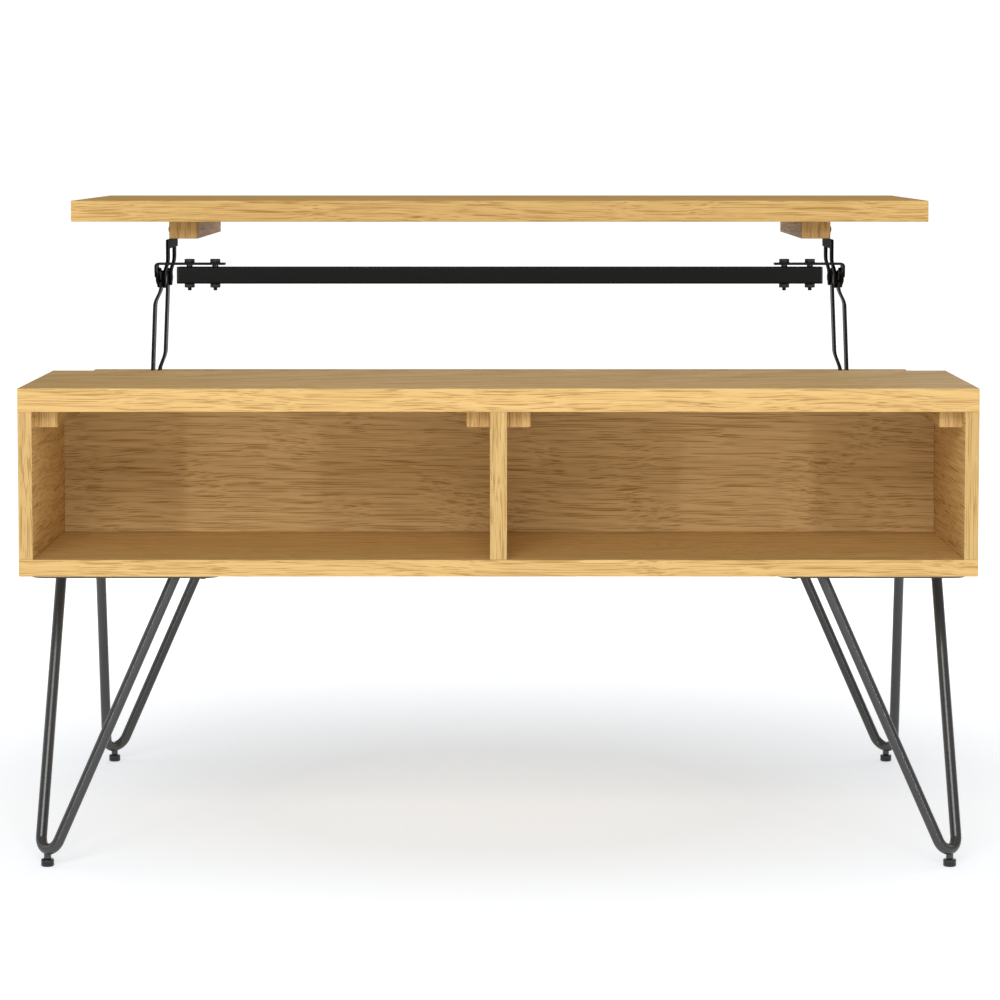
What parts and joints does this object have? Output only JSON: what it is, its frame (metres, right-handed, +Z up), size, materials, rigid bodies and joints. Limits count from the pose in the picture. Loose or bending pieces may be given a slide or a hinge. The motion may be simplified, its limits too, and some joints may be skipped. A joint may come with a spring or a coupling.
{
  "type": "lift top coffee table",
  "caption": "Oak veneered coffee table on black hairpin legs, with open cubbies at the front and a rear top that rises level on parallel arms.",
  "frame": {"origin": "on the floor, under the middle of the bounding box of the table with its lid raised", "axes": "+X to the right seen from the open cubbies, +Y from the front to the back, +Z up"},
  "size_m": [1.016, 0.8218, 0.706],
  "materials": {
    "oak_top": "satin oak veneer, grain along the width",
    "oak_cabinet": "satin oak veneer",
    "oak_board": "satin oak veneer",
    "oak_solid": "satin solid oak",
    "dowel_beech": "plain beech",
    "black_steel": "black powder coat, satin",
    "black_hardware": "blackened steel, satin",
    "leg_steel": "gunmetal powder coat, satin",
    "bright_steel": "zinc plated",
    "screw_zinc": "zinc plated",
    "black_plastic": "matte moulded plastic",
    "foot_plastic": "matte moulded plastic",
    "bumper_rubber": "soft rubber"
  },
  "bodies": {
    "cabinet": {"bottom_panel": "oak_cabinet", "left_side_panel": "oak_cabinet", "right_side_panel": "oak_cabinet", "rear_panel": "oak_board", "cubby_back_panel": "oak_board", "cubby_divider": "oak_cabinet", "fixed_top": "oak_top", "left_partition": "oak_board", "right_partition": "oak_board", "left_side_cleat": "oak_solid", "left_divider_cleat": "oak_solid", "right_divider_cleat": "oak_solid", "right_side_cleat": "oak_solid", "cleat_screws": "screw_zinc", "dowels": "dowel_beech", "lid_bumpers": "bumper_rubber", "left_base_bracket": "black_steel", "right_base_bracket": "black_steel", "base_bracket_screws": "black_hardware", "base_pivot_pins": "bright_steel", "left_spring": "bright_steel", "right_spring": "bright_steel", "front_left_leg_plate": "leg_steel", "front_right_leg_plate": "leg_steel", "rear_left_leg_plate": "leg_steel", "rear_right_leg_plate": "leg_steel", "front_left_leg": "leg_steel", "front_right_leg": "leg_steel", "rear_left_leg": "leg_steel", "rear_right_leg": "leg_steel", "leg_screws": "black_hardware"},
    "front_arms": {"left_front_arm": "black_steel", "right_front_arm": "black_steel", "front_pivot_rivets": "black_hardware", "left_crossbar_bracket": "black_steel", "right_crossbar_bracket": "black_steel", "bracket_tie_rivets": "black_hardware", "crossbar": "black_steel", "crossbar_caps": "black_plastic", "crossbar_bolts": "black_hardware", "crossbar_spacers": "black_plastic", "crossbar_nuts": "black_hardware"},
    "rear_arms": {"left_rear_arm": "black_steel", "right_rear_arm": "black_steel", "rear_pivot_rivets": "black_hardware"},
    "lid": {"lift_top": "oak_top", "left_lid_block": "oak_solid", "right_lid_block": "oak_solid", "lid_block_screws": "screw_zinc", "left_lid_bracket": "black_steel", "right_lid_bracket": "black_steel", "lid_bracket_screws": "black_hardware"},
    "front_left_leveller": {"front_left_foot": "foot_plastic"},
    "front_right_leveller": {"front_right_foot": "foot_plastic"},
    "rear_left_leveller": {"rear_left_foot": "foot_plastic"},
    "rear_right_leveller": {"rear_right_foot": "foot_plastic"}
  },
  "joints": [
    {"name": "front_arm_turn", "type": "hinge", "parent": "cabinet", "child": "front_arms", "pos_m": [0, 0.05511, 0.45637], "axis": [1, 0, 0], "range_deg": [0, 107]},
    {"name": "rear_arm_turn", "type": "hinge", "parent": "cabinet", "child": "rear_arms", "pos_m": [0, 0.13011, 0.45637], "axis": [1, 0, 0], "range_deg": [0, 107], "deforming": ["left_spring", "right_spring"]},
    {"name": "lid_turn", "type": "hinge", "parent": "front_arms", "child": "lid", "pos_m": [0, 0.06592, 0.61099], "axis": [1, 0, 0], "range_deg": [-107, 0]},
    {"name": "front_left_foot_screw", "type": "slide", "parent": "cabinet", "child": "front_left_leveller", "axis": [0, 0, -1], "range_m": [0, 0.008]},
    {"name": "front_right_foot_screw", "type": "slide", "parent": "cabinet", "child": "front_right_leveller", "axis": [0, 0, -1], "range_m": [0, 0.008]},
    {"name": "rear_left_foot_screw", "type": "slide", "parent": "cabinet", "child": "rear_left_leveller", "axis": [0, 0, -1], "range_m": [0, 0.008]},
    {"name": "rear_right_foot_screw", "type": "slide", "parent": "cabinet", "child": "rear_right_leveller", "axis": [0, 0, -1], "range_m": [0, 0.008]}
  ],
  "couplings": [
    {"joint": "rear_arm_turn", "follows": "front_arm_turn", "ratio": 1},
    {"joint": "lid_turn", "follows": "front_arm_turn", "ratio": -1}
  ]
}
